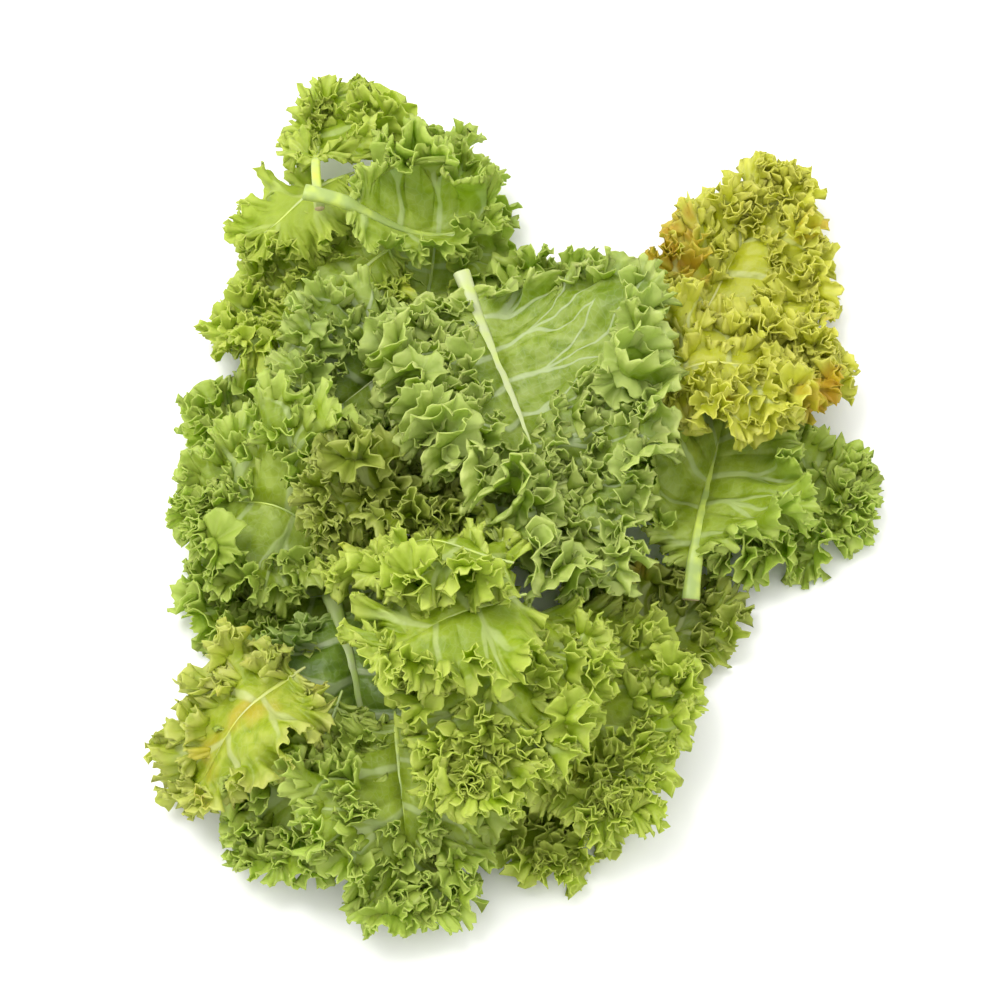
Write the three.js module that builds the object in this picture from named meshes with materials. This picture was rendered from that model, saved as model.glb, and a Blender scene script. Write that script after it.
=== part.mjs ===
// A loose bunch of curly kale, laid down on a flat surface. Millimetres, +Z up.
// Each leaf is one closed solid that grew in one piece: a bare stalk with its cut end, the midrib that
// carries on from it, and a blade, thin beside the midrib and as thick at its rim as the frill there stands.
// The leaves are laid one after another, and each one drapes over the leaves that are under it.
import * as THREE from "three";
import { mergeVertices } from "three/addons/utils/BufferGeometryUtils.js";

// Driving dimensions of one leaf
const STALK_WIDTH = 9; // the bare stalk at its cut
const STALK_HEIGHT = 7;
const BLADE_THICKNESS = 5; // blade beside the midrib, with its blisters
const FRILL_SHARE = 0.2; // how thick the frilled rim is, as a share of the leaf's width
const TIP_SHARE = 0.3; // width left at the blunt tip, as a share of the leaf's width
const FULLEST = 0.4; // where along the blade the leaf is widest, unless its own line says otherwise
const OVAL_BLUNTNESS = 0.62; // 1 is a slim leaf with a pointed base and tip, 0 a square one
const LOBE_DEPTH = 0.07; // how far the outline swings in and out, as a share of the half width

// Mesh of one leaf: stations from the cut to the tip, columns from one rim to the other
const STATIONS = 10;
const STALK_STATIONS = 2;
const COLUMNS = 6;

// How the leaves lie
const GAP = 1.2; // clear space between one leaf and the next
const DRAPE_REACH = 12; // a blade bridges dips narrower than about twice this
const DRAPE_ROUNDS = 8;
const MAP_PITCH = 3;
const MAP_HALF_SIZE = 330;

const KALE = {
  green: { color: 0x86a548, roughness: 0.55, metalness: 0 },
  blueGreen: { color: 0x7c9c5a, roughness: 0.6, metalness: 0 },
  lime: { color: 0xa3b944, roughness: 0.5, metalness: 0 },
  yellow: { color: 0xb9b63f, roughness: 0.5, metalness: 0 },
};

// Each leaf, from the lowest to the one on top. cut is where the stalk's cut end lies, heading the way
// from there to the tip, turn how far the midrib bends on its way, size the bare stalk's length, the
// blade's length and its width. Some leaves have more: raise is how high the left rim, the right rim and
// the tip are lifted off what is under them, fullest where along the blade the leaf is widest, and
// lopsided how much more of the width is on its left.
const LEAVES = [
  { name: "olive_leaf", look: "yellow", cut: [10, -84], heading: 4, turn: 14, size: [4, 96, 84] },
  { name: "left_lower_leaf", look: "green", cut: [-55, -48], heading: -172, turn: -6, size: [4, 106, 110] },
  { name: "left_upper_leaf", look: "green", cut: [-68, 36], heading: 172, turn: 8, size: [4, 98, 92] },
  { name: "right_outer_leaf", look: "green", cut: [48, 0], heading: 2, turn: -6, size: [32, 98, 102] },
  { name: "front_right_leaf", look: "lime", cut: [20, -114], heading: -92, turn: -10, size: [4, 90, 92] },
  {
    name: "back_dark_leaf", look: "green", cut: [-50, 116], heading: 82, turn: 6, size: [6, 98, 82],
    raise: [6, 6, 14],
  },
  { name: "shoulder_leaf", look: "lime", cut: [-62, 148], heading: -146, turn: 8, size: [4, 108, 100] },
  { name: "back_left_leaf", look: "lime", cut: [-88, 184], heading: -146, turn: 8, size: [4, 64, 62] },
  {
    name: "back_stalk_leaf", look: "lime", cut: [-104, 149], heading: 98, turn: -14, size: [34, 66, 66],
    raise: [2, 4, 16], lopsided: -0.5,
  },
  {
    name: "yellow_tip_leaf", look: "yellow", cut: [80, 74], heading: 68, turn: -10, size: [6, 130, 100],
    raise: [2, 4, 10], lopsided: -0.2,
  },
  { name: "back_centre_leaf", look: "green", cut: [20, 54], heading: 92, turn: -4, size: [4, 84, 108] },
  { name: "broad_left_leaf", look: "green", cut: [-94, -60], heading: -74, turn: -6, size: [12, 128, 124] },
  { name: "front_left_leaf", look: "green", cut: [-86, -122], heading: -110, turn: 4, size: [4, 84, 76] },
  { name: "front_leaf", look: "green", cut: [-60, -137], heading: -86, turn: 4, size: [4, 88, 98] },
  {
    name: "yellow_corner_leaf", look: "yellow", cut: [-103, -119], heading: -138, turn: 6,
    size: [4, 74, 76],
  },
  { name: "blue_green_leaf", look: "blueGreen", cut: [-42, 90], heading: -134, turn: -4, size: [4, 106, 98] },
  { name: "front_broad_leaf", look: "lime", cut: [20, -70], heading: -80, turn: 6, size: [6, 118, 108] },
  {
    name: "right_stalk_leaf", look: "green", cut: [84, -66], heading: 84, turn: -12, size: [18, 104, 88],
    raise: [12, 2, 0], lopsided: -0.2,
  },
  { name: "yellow_side_leaf", look: "yellow", cut: [58, 46], heading: 10, turn: 8, size: [4, 104, 92] },
  { name: "left_fan_leaf", look: "green", cut: [-87, -36], heading: 158, turn: 6, size: [4, 82, 98] },
  { name: "middle_front_leaf", look: "lime", cut: [6, -80], heading: -108, turn: 6, size: [6, 116, 100] },
  { name: "middle_fan_leaf", look: "lime", cut: [2, -92], heading: -148, turn: -4, size: [6, 76, 84] },
  {
    name: "folded_leaf", look: "green", cut: [-111, 152], heading: -12, turn: 26, size: [22, 78, 68],
    raise: [24, 0, 6], lopsided: 0.35,
  },
  { name: "inner_leaf", look: "blueGreen", cut: [20, 42], heading: -112, turn: -8, size: [12, 92, 84] },
  { name: "middle_frill_leaf", look: "lime", cut: [-4, -82], heading: 166, turn: -6, size: [4, 82, 72] },
  { name: "rolled_leaf", look: "yellow", cut: [-18, -14], heading: -168, turn: 6, size: [4, 84, 62] },
  {
    name: "crown_leaf", look: "blueGreen", cut: [-30, 116], heading: -70, turn: -4, size: [10, 190, 150],
    fullest: 0.28, lopsided: 0.12,
  },
];

// What already lies on the surface, as a square map of heights.
class HeightMap {
  constructor() {
    this.side = Math.round((2 * MAP_HALF_SIZE) / MAP_PITCH) + 1;
    this.heights = new Float32Array(this.side * this.side);
  }

  index(distance) {
    return (distance + MAP_HALF_SIZE) / MAP_PITCH;
  }

  place(index) {
    return index * MAP_PITCH - MAP_HALF_SIZE;
  }

  highestNear(x, y, reach) {
    let highest = 0;
    for (let row = Math.ceil(this.index(y - reach)); row <= this.index(y + reach); row++)
      for (let column = Math.ceil(this.index(x - reach)); column <= this.index(x + reach); column++)
        if (Math.hypot(this.place(column) - x, this.place(row) - y) <= reach)
          highest = Math.max(highest, this.heights[row * this.side + column]);
    return highest;
  }

  // Calls visit with the row, the column and the triangle's height at each map point under the triangle.
  underTriangle([a, b, c], visit) {
    const area = (b.x - a.x) * (c.y - a.y) - (c.x - a.x) * (b.y - a.y);
    if (Math.abs(area) < 1e-6) return;
    const lowRow = Math.ceil(this.index(Math.min(a.y, b.y, c.y)));
    const highRow = Math.floor(this.index(Math.max(a.y, b.y, c.y)));
    const lowColumn = Math.ceil(this.index(Math.min(a.x, b.x, c.x)));
    const highColumn = Math.floor(this.index(Math.max(a.x, b.x, c.x)));
    for (let row = lowRow; row <= highRow; row++)
      for (let column = lowColumn; column <= highColumn; column++) {
        const x = this.place(column);
        const y = this.place(row);
        const atB = ((x - a.x) * (c.y - a.y) - (c.x - a.x) * (y - a.y)) / area;
        const atC = ((b.x - a.x) * (y - a.y) - (x - a.x) * (b.y - a.y)) / area;
        if (atB < 0 || atC < 0 || atB + atC > 1) continue;
        visit(row, column, a.z * (1 - atB - atC) + b.z * atB + c.z * atC);
      }
  }

  // Raises the map to a triangle, and one point round it, so that walls between map points count too.
  raiseTo(triangle) {
    this.underTriangle(triangle, (row, column, height) => {
      for (let r = row - 1; r <= row + 1; r++)
        for (let c = column - 1; c <= column + 1; c++) {
          const at = r * this.side + c;
          this.heights[at] = Math.max(this.heights[at], height);
        }
    });
  }
}

// Where one station lies on the midrib: how far along it is, and how far along the blade from 0 to 1.
function stationPlace(leaf, station) {
  const [stalk, bladeLength] = leaf.size;
  if (station <= STALK_STATIONS) return { along: (stalk * station) / STALK_STATIONS, blade: 0 };
  const blade = (station - STALK_STATIONS) / (STATIONS - STALK_STATIONS);
  return { along: stalk + bladeLength * blade, blade };
}

// Half the leaf's width at a station: the stalk's, then an oval blade with shallow lobes.
function halfWidth(leaf, blade, side) {
  const stalk = STALK_WIDTH / 2;
  if (blade === 0) return stalk;
  const widest = (leaf.size[2] / 2) * (1 + side * (leaf.lopsided ?? 0));
  const power = Math.log(0.5) / Math.log(leaf.fullest ?? FULLEST);
  const oval = Math.sin(Math.PI * Math.pow(blade, power)) ** OVAL_BLUNTNESS;
  const blunt = TIP_SHARE * THREE.MathUtils.smoothstep(blade, 0.55, 1);
  const lobes = 1 + LOBE_DEPTH * Math.sin(4 * Math.PI * blade + side * leaf.heading);
  return stalk + (widest - stalk) * Math.max(oval, blunt) * lobes;
}

// Half the leaf's thickness: a rounded midrib, a thin blade and a thick frill along the rim.
function halfThickness(leaf, blade, across) {
  const ribHeight = (STALK_HEIGHT / 2) * (1 - 0.6 * blade);
  if (blade === 0) return 0.6 + ribHeight * Math.sqrt(1 - across * across);
  const atSide = THREE.MathUtils.smoothstep(Math.abs(across), 0.3, 0.8);
  const rim = Math.max(atSide, THREE.MathUtils.smoothstep(blade, 0.75, 0.95));
  const opened = THREE.MathUtils.smoothstep(blade, 0, 0.2);
  const frill = (FRILL_SHARE * leaf.size[2]) / 2;
  const thin = Math.max(BLADE_THICKNESS / 2, across === 0 ? ribHeight : 0);
  return thin + (frill - thin) * rim * opened;
}

// How far the leaf's own shape holds a point off what is under it.
function raised(leaf, blade, across) {
  const [left, right, tip] = leaf.raise ?? [0, 0, 0];
  const side = across > 0 ? left : right;
  const opened = THREE.MathUtils.smoothstep(blade, 0, 0.35);
  return side * across * across * opened + tip * THREE.MathUtils.smoothstep(blade, 0.2, 1);
}

// The leaf's points in plan, in its own frame: the cut end at 0, 0 and the midrib setting out along +X.
function planGrid(leaf) {
  const length = leaf.size[0] + leaf.size[1];
  const turn = THREE.MathUtils.degToRad(leaf.turn);
  const grid = [];
  for (let station = 0; station <= STATIONS; station++) {
    const { along, blade } = stationPlace(leaf, station);
    const angle = (turn * along) / length;
    const radius = length / turn;
    const middle = new THREE.Vector2(radius * Math.sin(angle), radius * (1 - Math.cos(angle)));
    const row = [];
    for (let column = 0; column <= COLUMNS; column++) {
      const across = (2 * column) / COLUMNS - 1;
      const out = across * halfWidth(leaf, blade, Math.sign(across));
      row.push({
        x: middle.x - out * Math.sin(angle),
        y: middle.y + out * Math.cos(angle),
        half: halfThickness(leaf, blade, across),
        raised: raised(leaf, blade, across),
      });
    }
    grid.push(row);
  }
  return grid;
}

// The two triangles of each cell of the grid, as corners [station, column].
function cellTriangles() {
  const triangles = [];
  for (let i = 0; i < STATIONS; i++)
    for (let j = 0; j < COLUMNS; j++) {
      triangles.push([[i, j], [i + 1, j], [i + 1, j + 1]]);
      triangles.push([[i, j], [i + 1, j + 1], [i, j + 1]]);
      // The other diagonal too, so that the leaf clears its neighbours whichever way a cell is split.
      triangles.push([[i, j], [i + 1, j], [i, j + 1]]);
      triangles.push([[i + 1, j], [i + 1, j + 1], [i, j + 1]]);
    }
  return triangles;
}

const TRIANGLES = cellTriangles();

// Lifts the underside wherever it dips into what lies there. Says whether it had to.
function liftClear(grid, places, map) {
  let lifted = false;
  for (const corners of TRIANGLES) {
    const points = corners.map(([i, j]) => ({ ...places[i][j], z: grid[i][j].base + grid[i][j].raised }));
    let short = 0;
    map.underTriangle(points, (row, column, height) => {
      const under = map.heights[row * map.side + column];
      const needed = under > 0 ? under + GAP : 0;
      short = Math.max(short, needed - height);
    });
    if (short > 1e-3) {
      lifted = true;
      for (const [i, j] of corners) grid[i][j].base += short;
    }
  }
  return lifted;
}

// Evens out the underside as a limp blade does. The ends of the grid follow their inner neighbours.
function relax(grid) {
  const before = grid.map((row) => row.map((point) => point.base));
  grid.forEach((row, i) =>
    row.forEach((point, j) => {
      const around = [before[i - 1]?.[j], before[i + 1]?.[j], before[i][j - 1], before[i][j + 1]];
      const found = around.filter((height) => height !== undefined);
      const average = found.reduce((sum, height) => sum + height, 0) / found.length;
      point.base = (point.base + average) / 2;
    }),
  );
}

// Lays the leaf on the map: finds how high each point of its underside lies, then adds the leaf to the map.
function drape(leaf, grid, map) {
  const turn = THREE.MathUtils.degToRad(leaf.heading);
  const places = grid.map((row) =>
    row.map(({ x, y }) => ({
      x: leaf.cut[0] + x * Math.cos(turn) - y * Math.sin(turn),
      y: leaf.cut[1] + x * Math.sin(turn) + y * Math.cos(turn),
    })),
  );
  grid.forEach((row, i) =>
    row.forEach((point, j) => {
      point.base = map.highestNear(places[i][j].x, places[i][j].y, DRAPE_REACH);
    }),
  );
  for (let round = 0; round < DRAPE_ROUNDS; round++) {
    relax(grid);
    while (liftClear(grid, places, map));
  }
  const tops = (i, j) => ({ ...places[i][j], z: grid[i][j].base + grid[i][j].raised + 2 * grid[i][j].half });
  for (const corners of TRIANGLES) map.raiseTo(corners.map(([i, j]) => tops(i, j)));
}

// One leaf: a box with a face for each cell of the grid, its top and underside moved to the leaf's.
function leafMesh(leaf, map) {
  const grid = planGrid(leaf);
  drape(leaf, grid, map);
  const geometry = new THREE.BoxGeometry(1, 1, 1, STATIONS, COLUMNS, 1);
  const positions = geometry.attributes.position;
  for (let n = 0; n < positions.count; n++) {
    const station = Math.round((positions.getX(n) + 0.5) * STATIONS);
    const column = Math.round((positions.getY(n) + 0.5) * COLUMNS);
    const point = grid[station][column];
    const underside = point.base + point.raised;
    positions.setXYZ(n, point.x, point.y, positions.getZ(n) > 0 ? underside + 2 * point.half : underside);
  }
  geometry.deleteAttribute("normal");
  geometry.deleteAttribute("uv");
  const closed = mergeVertices(geometry);
  closed.computeVertexNormals();
  const mesh = new THREE.Mesh(closed, new THREE.MeshStandardMaterial(KALE[leaf.look]));
  mesh.name = leaf.name;
  mesh.position.set(leaf.cut[0], leaf.cut[1], 0);
  mesh.rotation.z = THREE.MathUtils.degToRad(leaf.heading);
  return mesh;
}

// The heap, moved so that the origin is under the middle of its box, on the surface it lies on.
function kaleBunch() {
  const map = new HeightMap();
  const heap = new THREE.Group();
  for (const leaf of LEAVES) heap.add(leafMesh(leaf, map));
  heap.updateMatrixWorld(true);
  const middle = new THREE.Box3().setFromObject(heap, true).getCenter(new THREE.Vector3());
  heap.position.set(-middle.x, -middle.y, 0);
  return new THREE.Group().add(heap);
}

export default kaleBunch();
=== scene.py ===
import math
import bpy
import numpy as np
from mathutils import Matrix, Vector


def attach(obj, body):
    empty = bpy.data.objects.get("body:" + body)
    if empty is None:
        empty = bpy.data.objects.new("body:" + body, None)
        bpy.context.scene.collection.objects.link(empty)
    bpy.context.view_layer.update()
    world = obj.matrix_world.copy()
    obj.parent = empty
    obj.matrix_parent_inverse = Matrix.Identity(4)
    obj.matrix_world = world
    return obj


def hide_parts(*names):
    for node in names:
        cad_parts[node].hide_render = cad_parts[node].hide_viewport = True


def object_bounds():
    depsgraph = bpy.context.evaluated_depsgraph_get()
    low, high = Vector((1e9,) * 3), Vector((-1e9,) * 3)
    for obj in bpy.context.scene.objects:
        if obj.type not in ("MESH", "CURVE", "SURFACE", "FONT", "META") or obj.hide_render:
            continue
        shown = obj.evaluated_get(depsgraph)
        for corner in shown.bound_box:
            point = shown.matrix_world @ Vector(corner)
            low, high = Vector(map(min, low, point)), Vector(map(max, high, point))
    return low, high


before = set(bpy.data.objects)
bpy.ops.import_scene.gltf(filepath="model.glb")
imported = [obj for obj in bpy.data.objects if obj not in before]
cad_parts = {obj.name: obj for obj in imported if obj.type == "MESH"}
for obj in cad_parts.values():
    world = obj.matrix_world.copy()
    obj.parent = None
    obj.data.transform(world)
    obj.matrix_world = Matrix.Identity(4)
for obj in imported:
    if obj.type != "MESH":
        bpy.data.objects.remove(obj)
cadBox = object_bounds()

bpy.ops.object.select_all(action="DESELECT")

# Lengths are in mm until a mesh is filled.


def linear(hexColour):    # "#rrggbb" to linear RGBA
    channels = [int(hexColour[i:i + 2], 16) / 255 for i in (1, 3, 5)]
    return [c / 12.92 if c < 0.04045 else ((c + 0.055) / 1.055) ** 2.4 for c in channels] + [1]


def smooth(low, high, value):
    t = np.clip((value - low) / (high - low), 0, 1)
    return t * t * (3 - 2 * t)


def unit(vectors):
    return vectors / np.maximum(np.linalg.norm(vectors, axis=-1, keepdims=True), 1e-9)


def wander(random, at, step):    # a smooth random curve between -1 and 1, with a new value every step
    knots = random.uniform(-1, 1, 4000)
    at = at / step
    i = at.astype(int)
    f = at - i
    f = f * f * (3 - 2 * f)
    return knots[i] * (1 - f) + knots[i + 1] * f


def arcLength(curve):
    return np.concatenate([[0], np.cumsum(np.linalg.norm(np.diff(curve, axis=0), axis=1))])


def bilinear(grid, row, column):
    row = np.clip(row, 0, grid.shape[0] - 1.001)
    column = np.clip(column, 0, grid.shape[1] - 1.001)
    i, j = row.astype(int), column.astype(int)
    f, g = row - i, column - j
    near = grid[i, j] * (1 - g) + grid[i, j + 1] * g
    far = grid[i + 1, j] * (1 - g) + grid[i + 1, j + 1] * g
    return near * (1 - f) + far * f


def normals(points):
    return unit(np.cross(np.gradient(points, axis=0), np.gradient(points, axis=1)))


# What the frame says of a leaf: the CAD leaf laid straight, its half widths and heights at its stations.
solidGrid = {"stalk": 2, "blade": 8, "columns": 7}


def readSolid(name, leaf):
    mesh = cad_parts[name].data
    points = np.empty(len(mesh.vertices) * 3, dtype=np.float32)
    mesh.vertices.foreach_get("co", points)
    points = points.reshape(-1, 3).astype(float) * 1000
    heading = math.radians(leaf["heading"])
    ahead = np.array([math.cos(heading), math.sin(heading)])
    aside = np.array([-math.sin(heading), math.cos(heading)])
    forwards = points[:, :2] @ ahead
    cut = points[forwards < forwards.min() + 0.05]
    origin = (cut[:, :2].min(0) + cut[:, :2].max(0)) / 2
    stalk, blade = leaf["size"]
    solid = {"origin": origin, "ahead": ahead, "aside": aside, "length": stalk + blade, "stalk": stalk,
             "radius": (stalk + blade) / math.radians(leaf["turn"])}
    at, out = straightened(solid, points[:, 0], points[:, 1])
    stations = np.concatenate([np.linspace(0, stalk, solidGrid["stalk"] + 1),
                               np.linspace(stalk, stalk + blade, solidGrid["blade"] + 1)[1:]])
    left, right, low, high = [], [], [], []
    nearest = np.argmin(np.abs(at[:, None] - stations[None]), axis=1)
    for i in range(len(stations)):
        here = nearest == i
        left.append(out[here].max())
        right.append(-out[here].min())
        across = np.linspace(-1, 1, solidGrid["columns"])
        places = np.where(across > 0, across * left[-1], across * right[-1])
        column = np.argmin(np.abs(out[:, None] - places[None]), axis=1)
        spots = [here & (column == c) for c in range(len(places))]
        low.append([points[spot, 2].min() for spot in spots])
        high.append([points[spot, 2].max() for spot in spots])
    solid.update(stations=stations, left=np.array(left), right=np.array(right))
    solid["sheet"] = middleSheet(solid, (np.array(low) + np.array(high)) / 2)
    return solid


def straightened(solid, x, y):    # how far along its midrib a point of the heap is, and how far out from it
    x, y = x - solid["origin"][0], y - solid["origin"][1]
    x, y = x * solid["ahead"][0] + y * solid["ahead"][1], x * solid["aside"][0] + y * solid["aside"][1]
    radius = solid["radius"]
    sign = math.copysign(1, radius)
    return radius * np.arctan2(x * sign, (radius - y) * sign), radius - sign * np.hypot(x, y - radius)


def middleSheet(solid, middle, rows=56, sides=31, rounds=30):
    # the smooth sheet halfway between the solid's top and bottom, on an even grid
    at = np.interp(np.linspace(0, solid["length"], rows), solid["stations"], np.arange(len(middle)))
    row, column = np.meshgrid(at, np.linspace(0, middle.shape[1] - 1, sides), indexing="ij")
    sheet = bilinear(middle, row, column)
    for _ in range(rounds):
        padded = np.pad(sheet, 1, mode="reflect", reflect_type="odd")
        around = padded[:-2, 1:-1] + padded[2:, 1:-1] + padded[1:-1, :-2] + padded[1:-1, 2:]
        sheet = sheet * 0.5 + around * 0.125
    return sheet


def halfWidths(solid, at, out):
    return np.where(out > 0, np.interp(at, solid["stations"], solid["left"]),
                    np.interp(at, solid["stations"], solid["right"]))


def sheetHeight(solid, at, out):
    across = np.clip(out / np.maximum(halfWidths(solid, at, out), 1), -1, 1)
    rows, sides = solid["sheet"].shape
    return bilinear(solid["sheet"], at / solid["length"] * (rows - 1), (across + 1) / 2 * (sides - 1))


def placed(solid, at, out):    # a point of the straight leaf, on its bent midrib in the heap
    angle = at / solid["radius"]
    x = solid["radius"] * np.sin(angle) - out * np.sin(angle)
    y = solid["radius"] * (1 - np.cos(angle)) + out * np.cos(angle)
    plan = solid["origin"] + x[..., None] * solid["ahead"] + y[..., None] * solid["aside"]
    return np.concatenate([plan, sheetHeight(solid, at, out)[..., None]], axis=-1)


# The heights that each leaf leaves for its neighbours, as maps of the heap seen from above.
room = {"pitch": 2.5, "reach": 300, "gap": 0.9, "overFloor": 0.5, "overTop": 6, "thinnest": 0.2}
roomAxis = np.linspace(-room["reach"], room["reach"], int(2 * room["reach"] / room["pitch"]) + 1)
nothingBelow, nothingAbove = -50.0, 500.0


def heightMap(solid):
    at, out = straightened(solid, *np.meshgrid(roomAxis, roomAxis, indexing="ij"))
    inside = (at > 0) & (at < solid["length"]) & (np.abs(out) < halfWidths(solid, at, out))
    return np.where(inside, sheetHeight(solid, at, out), nothingBelow)


def between(points, support, cover):
    # presses a leaf into the room between the leaves under it and those over it
    row, column = [(points[..., i] + room["reach"]) / room["pitch"] for i in (0, 1)]
    lowest = np.maximum(bilinear(support, row, column) + room["gap"], room["overFloor"])
    highest = np.minimum(bilinear(cover, row, column) - room["gap"], cadBox[1][2] * 1000 + room["overTop"])
    points = points.copy()
    points[..., 2] = np.clip(points[..., 2], lowest, np.maximum(highest, lowest + room["thinnest"]))
    return points


# Growing a blade: its fibres run from the midrib to the rim, which is far longer than the blade is wide.
frill = {
    "fibreGap": 0.37,    # between the rim's fibres, before they are ruffled
    "merge": 3,    # this many fibres become one, further in
    "outerRows": [10, 7.6, 5.6, 3.9, 2.5, 1.2, 0],    # from the rim
    "innerRows": 10,
    "overhang": 2.5,    # the frill reaches this far past the CAD rim before it curls
    "curl": 14,    # the whole rim turns up by this angle, in degrees
    "curlReach": 30, "curlWave": 26, "curlAngle": 62, "curlChange": 0.4, "calmEdge": 0.03,
    "levels": [
        {"wave": 12.5, "height": 3.3, "reach": 19},
        {"wave": 5.4, "height": 2.2, "reach": 9},
        {"wave": 3.1, "height": 1.1, "reach": 4.5},
    ],
    "softFrom": 4,    # waves longer than this have no sharp folds
    "irregular": 2.4,    # how far the waves stray from even steps, in radians
    "roundness": 0.3,    # how far each ruffle swells sideways into a loop
    "tooth": 3.0, "toothDepth": 1.9, "toothStray": 0.9,
    "lobe": 5, "lobeDepth": 3.4, "deepest": 4, "lobeReach": 9,
}


def rimCurve(solid, leaf):
    # the rim of the straight leaf in plan, from the left of the base round the tip, as a Catmull-Rom spline
    first = solidGrid["stalk"]
    ears = leaf.get("ears", 0)    # how far the blade spreads beside and behind its base
    overhang = leaf.get("overhang", frill["overhang"])
    station = np.arange(solidGrid["blade"] + 1)
    wider = overhang * np.clip(station, 0, 1) + ears * np.clip(1 - station / 2, 0, 1)
    left, right = solid["left"][first:] + wider, solid["right"][first:] + wider
    a = solid["stations"][first:] - ears * (station == 0) + overhang * (station == solidGrid["blade"])
    knots = np.array(list(zip(a, left)) + [(a[-1] + 2, 0)] + list(zip(a[::-1], -right[::-1])))
    ends = np.vstack([2 * knots[0] - knots[1], knots, 2 * knots[-1] - knots[-2]])
    t = np.linspace(0, 1, 24, endpoint=False)[:, None]
    pieces = []
    for i in range(1, len(ends) - 2):
        p0, p1, p2, p3 = ends[i - 1:i + 3]
        pieces.append(0.5 * (2 * p1 + (p2 - p0) * t + (2 * p0 - 5 * p1 + 4 * p2 - p3) * t ** 2
                             + (3 * p1 - p0 - 3 * p2 + p3) * t ** 3))
    return np.vstack(pieces + [knots[-1:]])


def pointsAt(curve, at):    # points of the curve at these lengths
    length = arcLength(curve)
    return np.stack([np.interp(at, length, curve[:, i]) for i in range(curve.shape[1])], axis=1)


def bend(points, angle):
    # turns each fibre's steps up by the angle at their outer end, so that every fibre keeps its length
    steps = np.diff(points, axis=1)
    stepLength = np.linalg.norm(steps, axis=-1, keepdims=True)
    ahead = unit(steps)
    up = normals(points)[:, 1:]
    up = unit(up - ahead * np.sum(up * ahead, axis=-1, keepdims=True))
    turned = ahead * np.cos(angle[:, 1:, None]) + up * np.sin(angle[:, 1:, None])
    return np.concatenate([points[:, :1], points[:, :1] + np.cumsum(turned * stepLength, axis=1)], axis=1)


def ruffle(points, distance, hold, strength, scale, random):
    # finer and finer ruffles, each on the surface that the last one left, then lobes and teeth
    for level in frill["levels"]:
        wave = level["wave"]
        arc = arcLength(points[:, -2]) / scale
        phase = 2 * math.pi * arc / wave + frill["irregular"] * wander(random, arc, wave * 1.1)
        height = level["height"] * scale ** 0.8 * (1 + 0.5 * wander(random, arc, wave * 1.7)) * strength
        fade = np.clip(1 - distance / level["reach"], 0, 1) ** 1.25 * hold
        rise = (height * np.sin(phase))[:, None] * fade
        swell = (-frill["roundness"] * height * np.sin(2 * phase))[:, None] * fade
        sideways = unit(np.gradient(points, axis=0))
        points = points + normals(points) * rise[..., None] + sideways * swell[..., None]
        if wave > frill["softFrom"]:
            points[1:-1] = points[1:-1] * 0.5 + (points[:-2] + points[2:]) * 0.25
    arc = arcLength(points[:, -1])
    stray = frill["toothStray"] * wander(random, arc, 5)
    tooth = 0.5 * np.cos(2 * math.pi * (arc / frill["tooth"] + stray))
    grow = frill["toothDepth"] * tooth * (0.75 + 0.5 * wander(random, arc, 8))
    grow += frill["lobeDepth"] * wander(random, arc, frill["lobe"])
    grow = np.maximum(grow, -frill["deepest"])
    reach = smooth(frill["lobeReach"], 0, distance)
    return points + unit(points[:, -1] - points[:, -4])[:, None] * (grow[:, None] * reach * hold)[..., None]


def evenFibres(s, rimRow, count, evenness=0.75):
    # where to put the fibres, so that their gaps are about even after the rim is drawn out
    stretched = arcLength(rimRow)
    measure = evenness * stretched / stretched[-1] + (1 - evenness) * s / s[-1]
    return np.interp(np.linspace(0, 1, count), measure, s)


def growBlade(solid, leaf, seed):
    curve = rimCurve(solid, leaf)
    rimLength = arcLength(curve)[-1]
    coarse = int(rimLength / (leaf.get("coarse", 1) * frill["fibreGap"] * frill["merge"])) | 1
    count = (coarse - 1) * frill["merge"] + 1
    s = np.linspace(0, rimLength, count)
    for attempt in range(2):    # the first attempt only shows where the rim is drawn out
        blade = growFibres(solid, leaf, curve, s, np.random.default_rng(seed))
        if attempt == 0:
            s = evenFibres(s, blade["points"][:, -1], count)
    return blade


relief = {
    "blister": 2, "veinGap": 13,    # the blade swells between its laterals
    "wave": 1.4, "waveGap": 14,
    "fold": 3, "foldLength": 8, "foldWidth": 13, "foldStray": 1.7, "strayWidth": 15, "flatBeside": 18,
    "clearOfRib": (2, 10), "clearOfRim": (0, 8),
}
fibres = {
    "reachUp": 0.9, "crowding": 1.1,    # how far up the midrib the fibres begin, and how they crowd there
    "sweep": 0.1,    # how far they bow towards the tip
    "shortest": 1.6,    # below this many outer rows' widths the outer rows close up
    "innerSpacing": 0.8,
}


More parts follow.
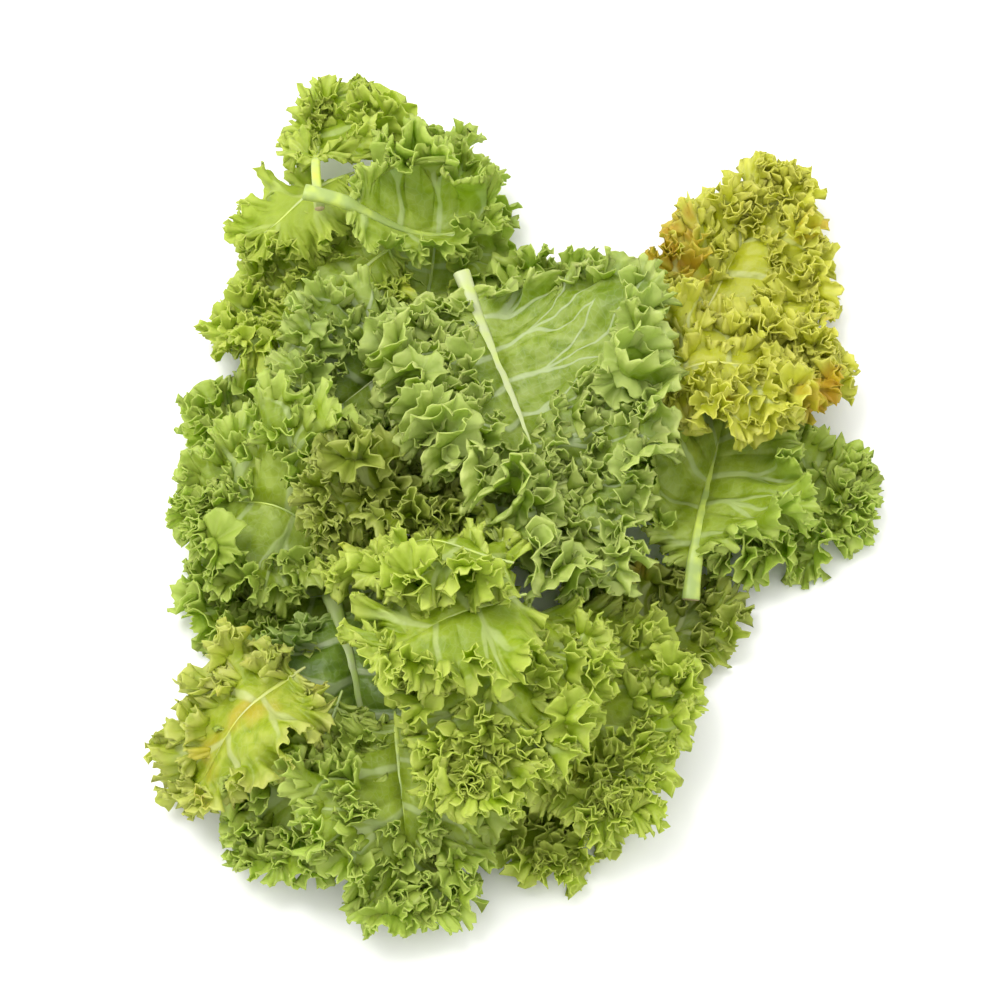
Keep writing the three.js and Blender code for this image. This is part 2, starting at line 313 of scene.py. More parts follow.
def growFibres(solid, leaf, curve, s, random):
    side = leaf.get("side", 1)    # -1 shows the underside
    stalk, length = solid["stalk"], solid["length"]
    rim = pointsAt(curve, s)
    share = np.abs(2 * s / s[-1] - 1)    # 1 at the base, 0 at the tip
    start = stalk + (length - stalk) * fibres["reachUp"] * (1 - share) ** fibres["crowding"]
    base = np.stack([start, np.zeros(len(s))], axis=1)
    fibreLength = np.linalg.norm(rim - base, axis=1)
    shortened = np.minimum(1, fibreLength / (frill["outerRows"][0] * fibres["shortest"]))[:, None]
    outer = np.array(frill["outerRows"])[None] * shortened
    inner = np.linspace(0, 1, frill["innerRows"], endpoint=False)[None] ** fibres["innerSpacing"]
    within = fibreLength[:, None] - (fibreLength[:, None] - outer[:, :1]) * inner
    distance = np.concatenate([within, outer], axis=1)    # of each point from the rim
    t = 1 - distance / fibreLength[:, None]
    fromRib = fibreLength[:, None] * t
    plan = base[:, None] + (rim - base)[:, None] * t[..., None]
    plan[..., 0] += fibres["sweep"] * (share * fibreLength)[:, None] * np.sin(math.pi * t) * (1 - 0.6 * t)
    points = placed(solid, plan[..., 0], plan[..., 1])
    # blisters between the laterals, small waves, and the folds of a limp blade
    phases = random.uniform(0, 2 * math.pi, 3)
    rightHalf = s > s[-1] / 2
    phase = start / relief["veinGap"] + np.where(rightHalf, 0.5, 0)
    gate = smooth(*relief["clearOfRib"], fromRib) * smooth(*relief["clearOfRim"], distance)
    blister = (np.abs(np.sin(math.pi * phase)) ** 0.8 - 0.5)[:, None] * gate
    wave = wander(random, s, relief["waveGap"])[:, None] * np.sin(t * 9 + 3) * gate
    stray = relief["foldStray"] * np.sin(plan[..., 1] / relief["strayWidth"] + phases[0])
    fold = np.sin(plan[..., 0] / relief["foldLength"] + stray + phases[1])
    fold = fold * np.sin(plan[..., 1] / relief["foldWidth"] + phases[2])
    fold = fold * smooth(0, relief["flatBeside"], fromRib)
    lift = relief["blister"] * blister * side + relief["wave"] * wave
    lift = lift + leaf.get("fold", relief["fold"]) * fold
    points = points + normals(points) * lift[..., None]
    # broad curls
    strength = leaf.get("ruffle", 1) * (1 + frill["curlChange"] * wander(random, s, frill["curlWave"]))
    turnRound = s / s[-1]
    for first, last, factor in leaf.get("calm", []):
        calmed = (1 - factor) * smooth(first, first + frill["calmEdge"], turnRound)
        strength *= 1 - calmed * smooth(last, last - frill["calmEdge"], turnRound)
    phase = 2 * math.pi * s / frill["curlWave"] + frill["irregular"] * wander(random, s, 30)
    hold = smooth(0, 0.06, 1 - share)[:, None]
    reach = np.minimum(frill["curlReach"], fibreLength * 0.7)[:, None]
    rise = smooth(0, 1, 1 - distance / reach) * hold
    angle = math.radians(frill["curlAngle"]) * (strength * np.sin(phase))[:, None] * rise
    curled = bend(points, angle + math.radians(leaf.get("curl", frill["curl"])) * side * rise)
    points = ruffle(curled, distance, hold, strength, leaf.get("scale", 1), random)
    return {"points": points, "curled": curled, "s": s, "start": start, "fibreLength": fibreLength,
            "distance": distance, "rightHalf": rightHalf}


crestShape = {
    "rows": 7,
    "foot": 0.6,    # sunk into the blade
    "stray": 4, "lean": 34, "leanChange": 40,    # degrees above the blade
    "tall": 0.85, "tallChange": 0.35,    # of the height in the leaf's list
    "bend": 50, "bendWave": 22, "strength": 1.05,
    "endShare": 0.08,    # dies out over this share of its length
}


def growCrest(blade, leaf, root, height, span, seed):
    # an inner fold of the frill: a ruffled strip that stands on the blade, root mm in from the rim
    side = leaf.get("side", 1)
    low, high = [share * blade["s"][-1] for share in span]
    count = max(int((high - low) / (leaf.get("coarse", 1) * frill["fibreGap"])), 12)
    s = np.linspace(low, high, count)
    up = normals(blade["curled"]) * side
    rows = np.arange(blade["distance"].shape[1])

    def onBlade(grid, fibre, column):
        return np.stack([bilinear(grid[..., k], fibre, column) for k in range(3)], axis=-1)

    for attempt in range(2):    # the first attempt only shows where the strip's edge is drawn out
        random = np.random.default_rng(seed)
        fibre = np.interp(s, blade["s"], np.arange(len(blade["s"])))
        r = root + crestShape["stray"] * wander(random, s, 14)
        nearest = blade["distance"][np.round(fibre).astype(int)]
        column = np.array([np.interp(-a, -d, rows) for a, d in zip(r, nearest)])
        foot = onBlade(blade["curled"], fibre, column)
        lift = unit(onBlade(up, fibre, column))
        outwards = unit(onBlade(blade["curled"], fibre, column + 1) - foot)
        lean = np.radians(crestShape["lean"] + crestShape["leanChange"] * wander(random, s, 12))[:, None]
        direction = lift * np.sin(lean) + outwards * np.cos(lean)
        ends = smooth(0, crestShape["endShare"], (s - low) / (high - low))
        ends = ends * smooth(0, crestShape["endShare"], (high - s) / (high - low))
        ends = np.clip(ends, 0.05, 1)
        tall = height * (crestShape["tall"] + crestShape["tallChange"] * wander(random, s, 18)) * ends
        share = np.linspace(0, 1, crestShape["rows"])[None] ** 0.85
        distance = tall[:, None] * (1 - share)
        reached = (tall[:, None] * share)[..., None]
        points = (foot - crestShape["foot"] * lift)[:, None] + direction[:, None] * reached
        hold = smooth(0, 0.25, share) * ends[:, None]
        phase = 2 * math.pi * s / crestShape["bendWave"] + frill["irregular"] * wander(random, s, 24)
        points = bend(points, math.radians(crestShape["bend"]) * np.sin(phase)[:, None] * hold)
        strength = np.full(count, crestShape["strength"])
        points = ruffle(points, distance, hold, strength, leaf.get("scale", 1), random)
        if attempt == 0:
            s = low + evenFibres(s - low, points[:, -1], count)
    return {"points": points, "distance": distance}


def gridObject(name, points, u=0, v=0, rim=30):
    # a primitive grid with its points put in place, and with what the material reads of each point
    rings, rows = points.shape[:2]
    bpy.ops.mesh.primitive_grid_add(x_subdivisions=rows - 1, y_subdivisions=rings - 1, size=1)
    sheet = bpy.context.object
    sheet.name = name
    mesh = sheet.data
    mesh.vertices.foreach_set("co", (points / 1000).astype(np.float32).ravel())
    loops = np.empty(len(mesh.loops), dtype=np.int32)
    mesh.loops.foreach_get("vertex_index", loops)
    u, v, rim = [np.broadcast_to(values, (rings, rows)).ravel() for values in (u, v, rim)]
    uv = np.stack([u[loops], v[loops]], axis=1) / 100
    mesh.uv_layers.active.data.foreach_set("uv", uv.astype(np.float32).ravel())
    attribute = mesh.attributes.new("rim", "FLOAT", "POINT")
    attribute.data.foreach_set("value", rim.astype(np.float32))
    mesh.update()
    return sheet


def joined(name, parts, weld=1e-6):
    bpy.ops.object.select_all(action="DESELECT")
    for part in parts:
        part.select_set(True)
    bpy.context.view_layer.objects.active = parts[0]
    bpy.ops.object.join()
    whole = bpy.context.object
    whole.name = name
    bpy.ops.object.mode_set(mode="EDIT")
    bpy.ops.mesh.select_all(action="SELECT")
    if weld:
        bpy.ops.mesh.remove_doubles(threshold=weld)
    bpy.ops.object.mode_set(mode="OBJECT")
    return whole


bladeThickness = 0.5
otherSide, offBlade = 200, 400    # added to u, so that the veins of each half differ and a crest has none


def bladeObject(name, leaf, blade, crests, squeeze):
    merge, inner = frill["merge"], frill["innerRows"]
    points, distance = squeeze(blade["points"]), blade["distance"]
    v = blade["fibreLength"][:, None] - distance
    u = (blade["start"] + np.where(blade["rightHalf"], otherSide + relief["veinGap"] / 2, 0))[:, None]
    # the rim's first row is drawn together onto every third fibre, so that the two parts weld
    nearest = np.round(np.arange(len(points)) / merge).astype(int) * merge
    outer = points[:, inner:].copy()
    outer[:, 0] = points[nearest, inner]
    parts = [gridObject(name, points[::merge, :inner + 1], u[::merge], v[::merge, :inner + 1],
                        distance[::merge, :inner + 1]),
             gridObject(name, outer, u, v[:, inner:], distance[:, inner:])]
    for crest in crests:
        parts.append(gridObject(name, squeeze(crest["points"]), offBlade, 0, crest["distance"]))
    whole = joined(name, parts)
    bpy.ops.object.mode_set(mode="EDIT")
    bpy.ops.mesh.select_all(action="SELECT")
    if leaf.get("side", 1) > 0:
        bpy.ops.mesh.flip_normals()    # the side that the curls rise from is the upper side
    bpy.ops.object.mode_set(mode="OBJECT")
    for finish in ("upper", "under"):
        whole.data.materials.append(finishes[leaf["look"]][finish])
    wall = whole.modifiers.new("wall", "SOLIDIFY")
    wall.thickness = bladeThickness / 1000
    wall.offset = 0
    wall.material_offset = 1
    bpy.ops.object.modifier_apply(modifier=wall.name)
    return whole


ribShape = {
    "halfWidth": 4, "halfHeight": 3.2, "least": 0.15,    # at the cut end and at the tip
    "atBlade": 0.8,    # narrows to this share where the blade begins
    "end": 0.92,    # reaches this share of the leaf
    "flat": 0.65, "sunk": 0.2, "groove": 0.22,
    "flare": 0.12, "flareReach": 10,    # widens towards the cut
    "lip": 0.5, "lipDrawnIn": 0.06,    # the edge of the cut
    "sides": 12, "rings": 60,
    "tornStalk": 6.5,    # a shorter stalk was torn off, and thins out there
    "tornShare": 0.3, "tornReach": 16,
}


def ribObject(name, leaf, solid, squeeze):
    # the stalk and the midrib, one tapered rod, flat where it was cut and closed at its tip
    length, stalk = solid["length"], solid["stalk"]
    at = np.linspace(0, length * ribShape["end"], ribShape["rings"])
    bladeShare = np.clip((at - stalk) / (length - stalk), 0, 1)
    taper = (1 - bladeShare / ribShape["end"] * 0.98) ** 1.15
    taper *= 1 - (1 - ribShape["atBlade"]) * smooth(-0.02, 0.1, bladeShare)
    if stalk < ribShape["tornStalk"]:
        taper *= ribShape["tornShare"] + (1 - ribShape["tornShare"]) * smooth(0, ribShape["tornReach"], at)
    scale = leaf.get("rib", 1)
    flatter = 1 - (1 - ribShape["flat"]) * smooth(0, 0.1, bladeShare)
    flare = 1 + ribShape["flare"] * smooth(ribShape["flareReach"], 0, at)
    wide = ribShape["halfWidth"] * scale * taper + ribShape["least"]
    tall = ribShape["halfHeight"] * scale * taper * flatter + ribShape["least"]
    around = np.linspace(0, 2 * math.pi, ribShape["sides"] + 1)
    middle = placed(solid, at, np.zeros(len(at)))
    middle[:, 2] -= leaf.get("side", 1) * ribShape["sunk"] * tall * smooth(0, 0.1, bladeShare)
    middle = squeeze(middle)
    middle[:, 2] = np.maximum(middle[:, 2], tall * flare + 0.2)
    ahead = unit(np.gradient(middle, axis=0))
    sideways = unit(np.cross([0, 0, 1], ahead))
    up = np.cross(ahead, sideways)
    groove = 1 - ribShape["groove"] * np.exp(-((around - math.pi / 2) / 0.5) ** 2)
    across = (wide * flare)[:, None] * np.cos(around)[None]
    above = (tall * flare)[:, None] * (np.sin(around) * groove)[None]
    rings = middle[:, None] + sideways[:, None] * across[..., None] + up[:, None] * above[..., None]
    rings[:, -1] = rings[:, 0]
    cap = np.repeat(middle[:1][:, None], len(around), axis=1)
    lip = rings[:1] * (1 - ribShape["lipDrawnIn"]) + cap * ribShape["lipDrawnIn"] - ahead[0] * ribShape["lip"]
    point = np.repeat(middle[-1:][:, None], len(around), axis=1) + ahead[-1] * 0.4
    rod = np.concatenate([cap - ahead[0] * 0.4, lip, rings, point])
    rod = gridObject(name, rod, np.concatenate([[0, 0], at, at[-1:]])[:, None])
    for finish in ("rib", "cut"):
        rod.data.materials.append(finishes[leaf["look"]][finish])
    bpy.ops.object.mode_set(mode="EDIT")
    bpy.ops.mesh.select_all(action="SELECT")
    bpy.ops.mesh.remove_doubles(threshold=1e-6)
    bpy.ops.mesh.normals_make_consistent(inside=False)
    bpy.ops.object.mode_set(mode="OBJECT")
    back = Vector(-ahead[0])
    for face in rod.data.polygons:
        face.material_index = 1 if face.normal.dot(back) > 0.8 and face.area < 1e-4 else 0
    return rod


def addNode(nodes, kind, inputs=None, out=0, **settings):
    # a new node with its settings and inputs, linked where an input comes from another node
    node = nodes.new(kind)
    for name, value in settings.items():
        setattr(node, name, value)
    for key, value in (inputs or {}).items():
        if isinstance(value, bpy.types.NodeSocket):
            nodes.id_data.links.new(value, node.inputs[key])
        else:
            node.inputs[key].default_value = value
    return node.outputs[out]


# The looks, each by its colours and by how much of it has turned yellow.
# Each rim colour is painted light: the glow through the thin frill and the highlight where its edges catch
# light.
looks = {
    "blueGreen": {
        "slot": "leaf_blue_green", "deep": "#678413", "blade": "#98AC30", "pale": "#B2C25E",
        "rim": "#D4E07C", "under": "#A8BC60", "vein": "#DCE6B8", "rib": "#B2BA88", "glow": "#BCD630",
        "yellow": "#8FA648", "yellowing": 0.0},
    "waxy": {
        "slot": "leaf_blue_green", "deep": "#6E8812", "blade": "#98AC30", "pale": "#B4C460",
        "rim": "#E2EA8C", "under": "#B2C268", "vein": "#DCE6B8", "rib": "#B2BA88", "glow": "#C4DC36",
        "yellow": "#8FA648", "yellowing": 0.0},
    # painted shade: a darker copy of the green look, for the broad left leaf, whose blade lies in shadow
    # under the others
    "paintedShade": {
        "slot": "leaf_green", "deep": "#5C7A15", "blade": "#7E9A2D", "pale": "#97B047",
        "rim": "#BECE76", "under": "#A0B453", "vein": "#CEDAA4", "rib": "#93A162", "glow": "#A8C82D",
        "yellow": "#8FA648", "yellowing": 0.0},
    "green": {
        "slot": "leaf_green", "deep": "#80940C", "blade": "#A6B830", "pale": "#BACA56",
        "rim": "#D4E074", "under": "#B4C655", "vein": "#D2DF98", "rib": "#93A658", "glow": "#BCDA2A",
        "yellow": "#C0C634", "yellowing": 0.1},
    "lime": {
        "slot": "leaf_yellow_green", "deep": "#819A0A", "blade": "#AABF24", "pale": "#BECE4A",
        "rim": "#DEE670", "under": "#BCCA4B", "vein": "#D6E290", "rib": "#A6B468", "glow": "#C8DE23",
        "yellow": "#D0D038", "yellowing": 0.2},
    "yellow": {
        "slot": "leaf_yellow", "deep": "#BCC016", "blade": "#D4D834", "pale": "#DEDE60",
        "rim": "#F0EC78", "under": "#CED450", "vein": "#E2E8A4", "rib": "#B2B468", "glow": "#E0E426",
        "yellow": "#D4A832", "yellowing": 0.55},
    "olive": {
        "slot": "leaf_yellow", "deep": "#6E8409", "blade": "#90A41A", "pale": "#A8B831",
        "rim": "#C6CC6A", "under": "#A8B446", "vein": "#C8D088", "rib": "#969E58", "glow": "#B4C820",
        "yellow": "#C4A82C", "yellowing": 0.25},
    "corner": {
        "slot": "leaf_yellow", "deep": "#8EA40C", "blade": "#ACBE26", "pale": "#C4CE4C",
        "rim": "#DEDE7C", "under": "#BCC656", "vein": "#DCE29C", "rib": "#B2B870", "glow": "#D2DE26",
        "yellow": "#D0BC3A", "yellowing": 0.3},
}
veinShape = {
    "gap": 21.0, "wander": 9.0,
    "atRib": 2.2, "atRim": 0.6, "thins": 40.0,    # half widths, and how far out a lateral thins
    "forkAt": 8.0, "forkLater": 14.0, "forkSpread": 0.28,
    "netScale": 30.0, "net": 0.22,
    "ends": 4.0, "full": 15.0,    # in from the rim
    "paleness": 0.7,
}
leafSkin = {"blotchScale": 130.0, "broadScale": 22.0, "crumpleScale": 130.0, "grainScale": 900.0,
            "glow": 0.45, "roughness": 0.4, "roughnessUnder": 0.55, "underShare": 0.5}


def veinPattern(nodes, rim):
    # laterals at even gaps along the midrib, each forking on its way out, and a net of small veins between
    shape = veinShape
    uv = addNode(nodes, "ShaderNodeUVMap")
    stray = addNode(nodes, "ShaderNodeTexNoise", {"Vector": uv, "Scale": 5.0, "Detail": 1.0})
    u = addNode(nodes, "ShaderNodeSeparateXYZ", {0: uv}, out="X")
    v = addNode(nodes, "ShaderNodeSeparateXYZ", {0: uv}, out="Y")
    onBlade = addNode(nodes, "ShaderNodeMath", {0: u, 1: offBlade / 100 - 0.1}, operation="LESS_THAN")
    u = addNode(nodes, "ShaderNodeMath", {0: u, 1: 100.0}, operation="MULTIPLY")    # in mm
    v = addNode(nodes, "ShaderNodeMath", {0: v, 1: 100.0}, operation="MULTIPLY")
    u = addNode(nodes, "ShaderNodeMath", {0: stray, 1: shape["wander"], 2: u}, operation="MULTIPLY_ADD")
    cell = addNode(nodes, "ShaderNodeMath", {0: u, 1: shape["gap"]}, operation="DIVIDE")
    beside = addNode(nodes, "ShaderNodeMath", {0: cell}, operation="FRACT")
    beside = addNode(nodes, "ShaderNodeMath", {0: beside, 1: shape["gap"], 2: -shape["gap"] / 2},
                     operation="MULTIPLY_ADD")
    beside = addNode(nodes, "ShaderNodeMath", {0: beside}, operation="ABSOLUTE")
    number = addNode(nodes, "ShaderNodeMath", {0: cell}, operation="FLOOR")
    chance = addNode(nodes, "ShaderNodeTexWhiteNoise", {"W": number}, noise_dimensions="1D")
    forkAt = addNode(nodes, "ShaderNodeMath", {0: chance, 1: shape["forkLater"], 2: shape["forkAt"]},
                     operation="MULTIPLY_ADD")
    past = addNode(nodes, "ShaderNodeMath", {0: v, 1: forkAt}, operation="SUBTRACT")
    past = addNode(nodes, "ShaderNodeMath", {0: past, 1: 0.0}, operation="MAXIMUM")
    offFork = addNode(nodes, "ShaderNodeMath", {0: past, 1: -shape["forkSpread"], 2: beside},
                      operation="MULTIPLY_ADD")
    offFork = addNode(nodes, "ShaderNodeMath", {0: offFork}, operation="ABSOLUTE")
    away = addNode(nodes, "ShaderNodeMath", {0: beside, 1: offFork}, operation="MINIMUM")
    thick = addNode(nodes, "ShaderNodeMapRange",
                    {0: v, 1: 0.0, 2: shape["thins"], 3: shape["atRib"], 4: shape["atRim"]},
                    interpolation_type="SMOOTHSTEP")
    away = addNode(nodes, "ShaderNodeMath", {0: away, 1: thick}, operation="DIVIDE")
    lateral = addNode(nodes, "ShaderNodeMapRange", {0: away, 1: 1.1, 2: 0.35},
                      interpolation_type="SMOOTHSTEP")
    net = addNode(nodes, "ShaderNodeTexVoronoi", {"Vector": uv, "Scale": shape["netScale"]},
                  feature="DISTANCE_TO_EDGE")
    net = addNode(nodes, "ShaderNodeMapRange", {0: net, 1: 0.09, 2: 0.0, 4: shape["net"]},
                  interpolation_type="SMOOTHSTEP")
    veins = addNode(nodes, "ShaderNodeMath", {0: lateral, 1: net}, operation="MAXIMUM")
    inside = addNode(nodes, "ShaderNodeMapRange", {0: rim, 1: shape["ends"], 2: shape["full"]},
                     interpolation_type="SMOOTHSTEP")
    veins = addNode(nodes, "ShaderNodeMath", {0: veins, 1: inside}, operation="MULTIPLY")
    return addNode(nodes, "ShaderNodeMath", {0: veins, 1: onBlade}, operation="MULTIPLY")


def leafMaterial(name, look, under=False):
    # Kale blade as grown: a waxy skin over a thin green body, so the sheen is broad and dull, light from
    # behind glows yellow-green through it and the veins are pale lines; the rim is painted lighter than the
    # blade, painted light for the glow through the thin frill and the highlight where its edges catch light
    material = bpy.data.materials.new(name)
    material.use_nodes = True
    nodes = material.node_tree.nodes
    shader = nodes["Principled BSDF"]
    spot = addNode(nodes, "ShaderNodeTexCoord", out="Object")
    rim = addNode(nodes, "ShaderNodeAttribute", out="Fac", attribute_name="rim")
    blotch = addNode(nodes, "ShaderNodeTexNoise",
                     {"Vector": spot, "Scale": leafSkin["blotchScale"], "Detail": 5.0})
    broad = addNode(nodes, "ShaderNodeTexNoise",
                    {"Vector": spot, "Scale": leafSkin["broadScale"], "Detail": 3.0})
    veins = veinPattern(nodes, rim)
    # each layer: its colour, what places it, where that begins and is full, and how much it covers
    # the rim layer is painted light: a lighter band within 11 mm of the rim stands for light glowing through
    # the frill and catching its edges
    layers = [("pale", blotch, 0.38, 0.62, 1.0), ("deep", broad, 0.6, 0.4, 0.5),
              ("rim", rim, 11.0, 0.5, 0.8), ("deep", blotch, 0.5, 0.3, 0.5)]
    if look["yellowing"]:
        begins = 0.68 - 0.25 * look["yellowing"]
        layers.append(("yellow", broad, begins, begins + 0.12, 1.0))
    layers.append(("vein", veins, 0.0, 1.0, veinShape["paleness"]))
    body = linear(look["blade"])
    for colour, placing, begins, fullAt, cover in layers:
        kind = "LINEAR" if colour == "vein" else "SMOOTHSTEP"
        share = addNode(nodes, "ShaderNodeMapRange", {0: placing, 1: begins, 2: fullAt, 4: cover},
                        interpolation_type=kind)
        body = addNode(nodes, "ShaderNodeMix", {0: share, 6: body, 7: linear(look[colour])}, out=2,
                       data_type="RGBA")
    if under:
        body = addNode(nodes, "ShaderNodeMix",
                       {0: leafSkin["underShare"], 6: body, 7: linear(look["under"])}, out=2,
                       data_type="RGBA")
    nodes.id_data.links.new(body, shader.inputs["Base Color"])
    shader.inputs["Roughness"].default_value = leafSkin["roughnessUnder" if under else "roughness"]
    shader.inputs["Specular IOR Level"].default_value = 0.5
    grain = addNode(nodes, "ShaderNodeTexNoise",
                    {"Vector": spot, "Scale": leafSkin["grainScale"], "Detail": 2.0})
    height = addNode(nodes, "ShaderNodeMath", {0: grain, 1: 0.35}, operation="MULTIPLY")
    height = addNode(nodes, "ShaderNodeMath", {0: veins, 1: 0.8, 2: height}, operation="MULTIPLY_ADD")
    skin = addNode(nodes, "ShaderNodeBump", {"Strength": 0.6, "Distance": 0.0005, "Height": height})
    crumple = addNode(nodes, "ShaderNodeTexNoise",
                      {"Vector": spot, "Scale": leafSkin["crumpleScale"], "Detail": 2.0})
    skin = addNode(nodes, "ShaderNodeBump",
                   {"Strength": 0.5, "Distance": 0.003, "Height": crumple, "Normal": skin})
    nodes.id_data.links.new(skin, shader.inputs["Normal"])
    glow = addNode(nodes, "ShaderNodeBsdfTranslucent", {"Color": linear(look["glow"])})
    mixed = addNode(nodes, "ShaderNodeMixShader", {0: leafSkin["glow"], 1: shader.outputs[0], 2: glow})
    nodes.id_data.links.new(mixed, nodes["Material Output"].inputs["Surface"])
    return material


def ribMaterial(name, look, cut=False):
    # Kale stalk as grown: smooth, firm and pale, lightly blotched with green; where cut, dry and tan
    material = bpy.data.materials.new(name)
    material.use_nodes = True
    nodes = material.node_tree.nodes
    shader = nodes["Principled BSDF"]
    spot = addNode(nodes, "ShaderNodeTexCoord", out="Object")
    blotch = addNode(nodes, "ShaderNodeTexNoise", {"Vector": spot, "Scale": 90.0, "Detail": 2.0})
    share = addNode(nodes, "ShaderNodeMapRange", {0: blotch, 1: 0.4, 2: 0.75},
                    interpolation_type="SMOOTHSTEP")
    first, second = ("#C9B58A", "#B7A06C") if cut else (look["rib"], look["pale"])
    body = addNode(nodes, "ShaderNodeMix", {0: share, 6: linear(first), 7: linear(second)}, out=2,
                   data_type="RGBA")
    nodes.id_data.links.new(body, shader.inputs["Base Color"])
    shader.inputs["Roughness"].default_value = 0.8 if cut else 0.42
    return material


finishes = {look: {"upper": leafMaterial("kale blade upper " + look, values),
                   "under": leafMaterial("kale blade under " + look, values, under=True),
                   "rib": ribMaterial("kale stalk " + look, values),
                   "cut": ribMaterial("kale stalk cut " + look, values, cut=True)}
            for look, values in looks.items()}

# A crest is (in from the rim, height, from, to), from and to as shares of the way round the rim.
full = [(13, 13, 0.01, 0.99), (25, 13, 0.04, 0.96), (37, 12, 0.08, 0.92)]
dense = [(13, 13, 0.01, 0.99), (26, 12, 0.06, 0.94)]

# The leaves, from the lowest to the one on top. Heading, turn and size (stalk, blade) are the CAD leaf's.
leaves = {
    "olive_leaf": {
        "heading": 4, "turn": 14, "size": (4, 96), "look": "olive",
        "rib": 0.4, "crests": dense, "coarse": 1.5},
    "left_lower_leaf": {
        "heading": -172, "turn": -6, "size": (4, 106), "look": "green",
        "scale": 0.85, "rib": 0.4, "crests": full, "coarse": 1.4},
    "left_upper_leaf": {
        "heading": 172, "turn": 8, "size": (4, 98), "look": "green",
        "rib": 0.4, "crests": dense, "coarse": 1.5},
    "right_outer_leaf": {
        "heading": 2, "turn": -6, "size": (32, 98), "look": "green",
        "scale": 0.85, "crests": dense},
    "front_right_leaf": {
        "heading": -92, "turn": -10, "size": (4, 90), "look": "lime",
        "rib": 0.4, "crests": dense, "coarse": 1.2},
    "back_dark_leaf": {
        "heading": 82, "turn": 6, "size": (6, 98), "look": "green",
        "rib": 0.4, "crests": dense, "coarse": 1.5},
    "shoulder_leaf": {
        "heading": -146, "turn": 8, "size": (4, 108), "look": "lime",
        "scale": 0.75, "rib": 0.4, "crests": full},
    "back_left_leaf": {
        "heading": -146, "turn": 8, "size": (4, 64), "look": "lime",
        "side": -1, "curl": 10, "rib": 0.45},
    "back_stalk_leaf": {
        "heading": 98, "turn": -14, "size": (34, 66), "look": "lime",
        "rib": 0.6, "crests": dense},
    "yellow_tip_leaf": {
        "heading": 68, "turn": -10, "size": (6, 130), "look": "yellow",
        "scale": 1.1, "rib": 0.4, "crests": full},
    "back_centre_leaf": {
        "heading": 92, "turn": -4, "size": (4, 84), "look": "green",
        "rib": 0.4, "crests": [(13, 12, 0.01, 0.99)], "coarse": 1.5},
    # its look paints shade: the blade lies in shadow, so its colours are a darker copy of the green
    "broad_left_leaf": {
        "heading": -74, "turn": -6, "size": (12, 128), "look": "paintedShade",
        "crests": [(13, 12, 0.5, 0.98)]},
    "front_left_leaf": {
        "heading": -110, "turn": 4, "size": (4, 84), "look": "green",
        "rib": 0.4, "overhang": 8, "crests": dense},
    "front_leaf": {
        "heading": -86, "turn": 4, "size": (4, 88), "look": "green",
        "calm": [(0.4, 0.6, 0.45)], "scale": 0.95, "rib": 0.4, "overhang": 8, "crests": full},
    "yellow_corner_leaf": {
        "heading": -138, "turn": 6, "size": (4, 74), "look": "corner",
        "rib": 0.4, "crests": [(12, 12, 0.4, 0.99), (24, 11, 0.6, 0.96)]},
    "blue_green_leaf": {
        "heading": -134, "turn": -4, "size": (4, 106), "look": "blueGreen",
        "rib": 0.4, "crests": full},
    "front_broad_leaf": {
        "heading": -80, "turn": 6, "size": (6, 118), "look": "lime",
        "scale": 1.2, "rib": 0.4, "ears": 16, "crests": full},
    "right_stalk_leaf": {
        "heading": 84, "turn": -12, "size": (18, 104), "look": "green",
        "crests": [(13, 12, 0.04, 0.55)]},
    "yellow_side_leaf": {
        "heading": 10, "turn": 8, "size": (4, 104), "look": "yellow",
        "scale": 1.2, "rib": 0.4, "crests": full},
    "left_fan_leaf": {
        "heading": 158, "turn": 6, "size": (4, 82), "look": "green",
        "rib": 0.4, "crests": dense + [(37, 12, 0.5, 0.97)]},
    "middle_front_leaf": {
        "heading": -108, "turn": 6, "size": (6, 116), "look": "lime",
        "scale": 1.25, "rib": 0.4, "ears": 14, "crests": full},
    "middle_fan_leaf": {
        "heading": -148, "turn": -4, "size": (6, 76), "look": "lime",
        "rib": 0.4, "ears": 10, "crests": [(13, 12, 0.3, 0.6)]},
    "folded_leaf": {
        "heading": -12, "turn": 26, "size": (22, 78), "look": "green",
        "ruffle": 0.7, "curl": 45},
    "inner_leaf": {
        "heading": -112, "turn": -8, "size": (12, 92), "look": "blueGreen", "coarse": 1.5},
    "middle_frill_leaf": {
        "heading": 166, "turn": -6, "size": (4, 82), "look": "lime",
        "scale": 1.15, "rib": 0.4, "ears": 12, "crests": dense},
    "rolled_leaf": {
        "heading": -168, "turn": 6, "size": (4, 84), "look": "olive",
        "rib": 0.4, "crests": dense},
    "crown_leaf": {
        "heading": -70, "turn": -4, "size": (10, 190), "look": "waxy",
        "calm": [(0.04, 0.2, 0.7)], "fold": 5.5, "coarse": 1.2,
        "crests": [
            (14, 14, 0.51, 0.99), (26, 14, 0.52, 0.98), (38, 14, 0.54, 0.96), (49, 13, 0.6, 0.93),
            (14, 13, 0.08, 0.5), (26, 13, 0.2, 0.5), (38, 13, 0.23, 0.49), (50, 13, 0.23, 0.47),
            (61, 12, 0.24, 0.45), (72, 11, 0.27, 0.36)]},
}

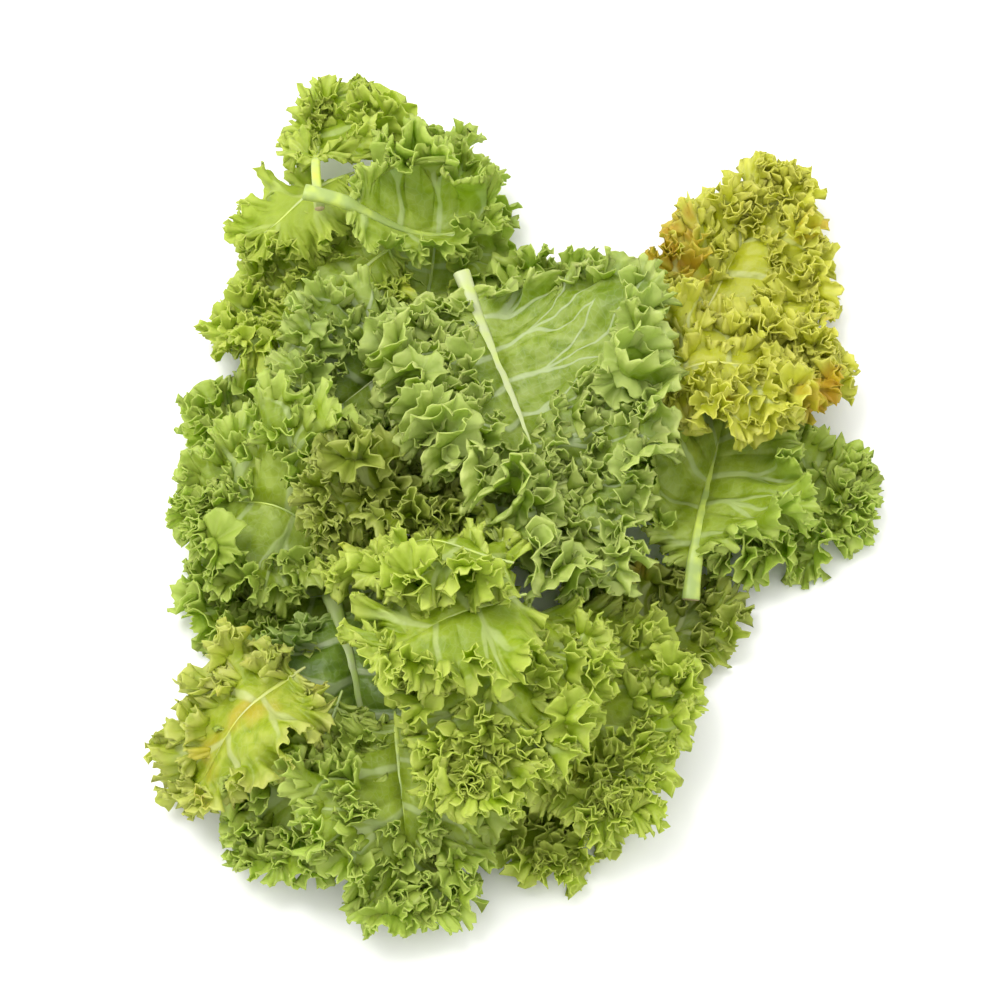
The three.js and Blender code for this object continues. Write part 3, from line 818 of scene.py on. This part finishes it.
order = list(leaves)
solids = {name: readSolid(name, leaves[name]) for name in order}
heights = {name: heightMap(solids[name]) for name in order}
ceilings = {name: np.where(heights[name] < 0, nothingAbove, heights[name]) for name in order}
firstSeed = 100
triangles = 0
for n, name in enumerate(order):
    leaf, solid = leaves[name], solids[name]
    seed = firstSeed + n
    lower = [heights[other] for other in order[:n]] + [np.full_like(heights[name], nothingBelow)]
    upper = [ceilings[other] for other in order[n + 1:]] + [np.full_like(heights[name], nothingAbove)]
    support, cover = np.max(lower, axis=0), np.min(upper, axis=0)

    def squeeze(points):
        return between(points, support, cover)

    blade = growBlade(solid, leaf, seed)
    crests = [growCrest(blade, leaf, root, height, (first, last), seed * 10 + i)
              for i, (root, height, first, last) in enumerate(leaf.get("crests", []))]
    sheets = bladeObject(name + "_kale", leaf, blade, crests, squeeze)
    rod = ribObject(name + "_rib", leaf, solid, squeeze)
    whole = joined(name + "_kale", [sheets, rod], weld=0)
    bpy.ops.object.shade_smooth()
    whole.select_set(False)
    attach(whole, "root")
    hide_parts(name)
    count = sum(len(face.vertices) - 2 for face in whole.data.polygons)
    triangles += count
    print(name, count, "triangles")
print("leaves grown,", triangles, "triangles")

bpy.ops.object.select_all(action="DESELECT")
bpy.ops.mesh.primitive_plane_add(size=8)
ground = bpy.context.object
ground.name = "floor"
paper = bpy.data.materials.new("matt white paper")
paper.use_nodes = True
paper.node_tree.nodes["Principled BSDF"].inputs["Base Color"].default_value = linear("#F6F6F4")
paper.node_tree.nodes["Principled BSDF"].inputs["Roughness"].default_value = 0.9
ground.data.materials.append(paper)

world = bpy.data.worlds.new("studio")
bpy.context.scene.world = world
world.use_nodes = True
world.node_tree.nodes["Background"].inputs["Color"].default_value = (1, 1, 1, 1)
world.node_tree.nodes["Background"].inputs["Strength"].default_value = 1.4


def softbox(name, location, size, watts):
    bpy.ops.object.light_add(type="AREA", location=location)
    lamp = bpy.context.object
    lamp.name = name
    lamp.data.energy = watts
    lamp.data.size = size
    lamp.rotation_euler = (-lamp.location).to_track_quat("-Z", "Y").to_euler()


softbox("key softbox", (-0.6, 0.2, 1.5), 0.8, 15)

view = {"elevation": 60, "distance": 1.5, "aim": (-0.013, -0.0227, 0.03), "lens": 108}    # in metres
elevation = math.radians(view["elevation"])
camera = bpy.data.objects.new("camera", bpy.data.cameras.new("camera"))
bpy.context.collection.objects.link(camera)
aim = Vector(view["aim"])
camera.location = aim + Vector((0, -math.cos(elevation), math.sin(elevation))) * view["distance"]
camera.rotation_euler = (aim - camera.location).to_track_quat("-Z", "Y").to_euler()
camera.data.lens = view["lens"]
bpy.context.scene.camera = camera
bpy.context.scene.view_settings.view_transform = "Standard"
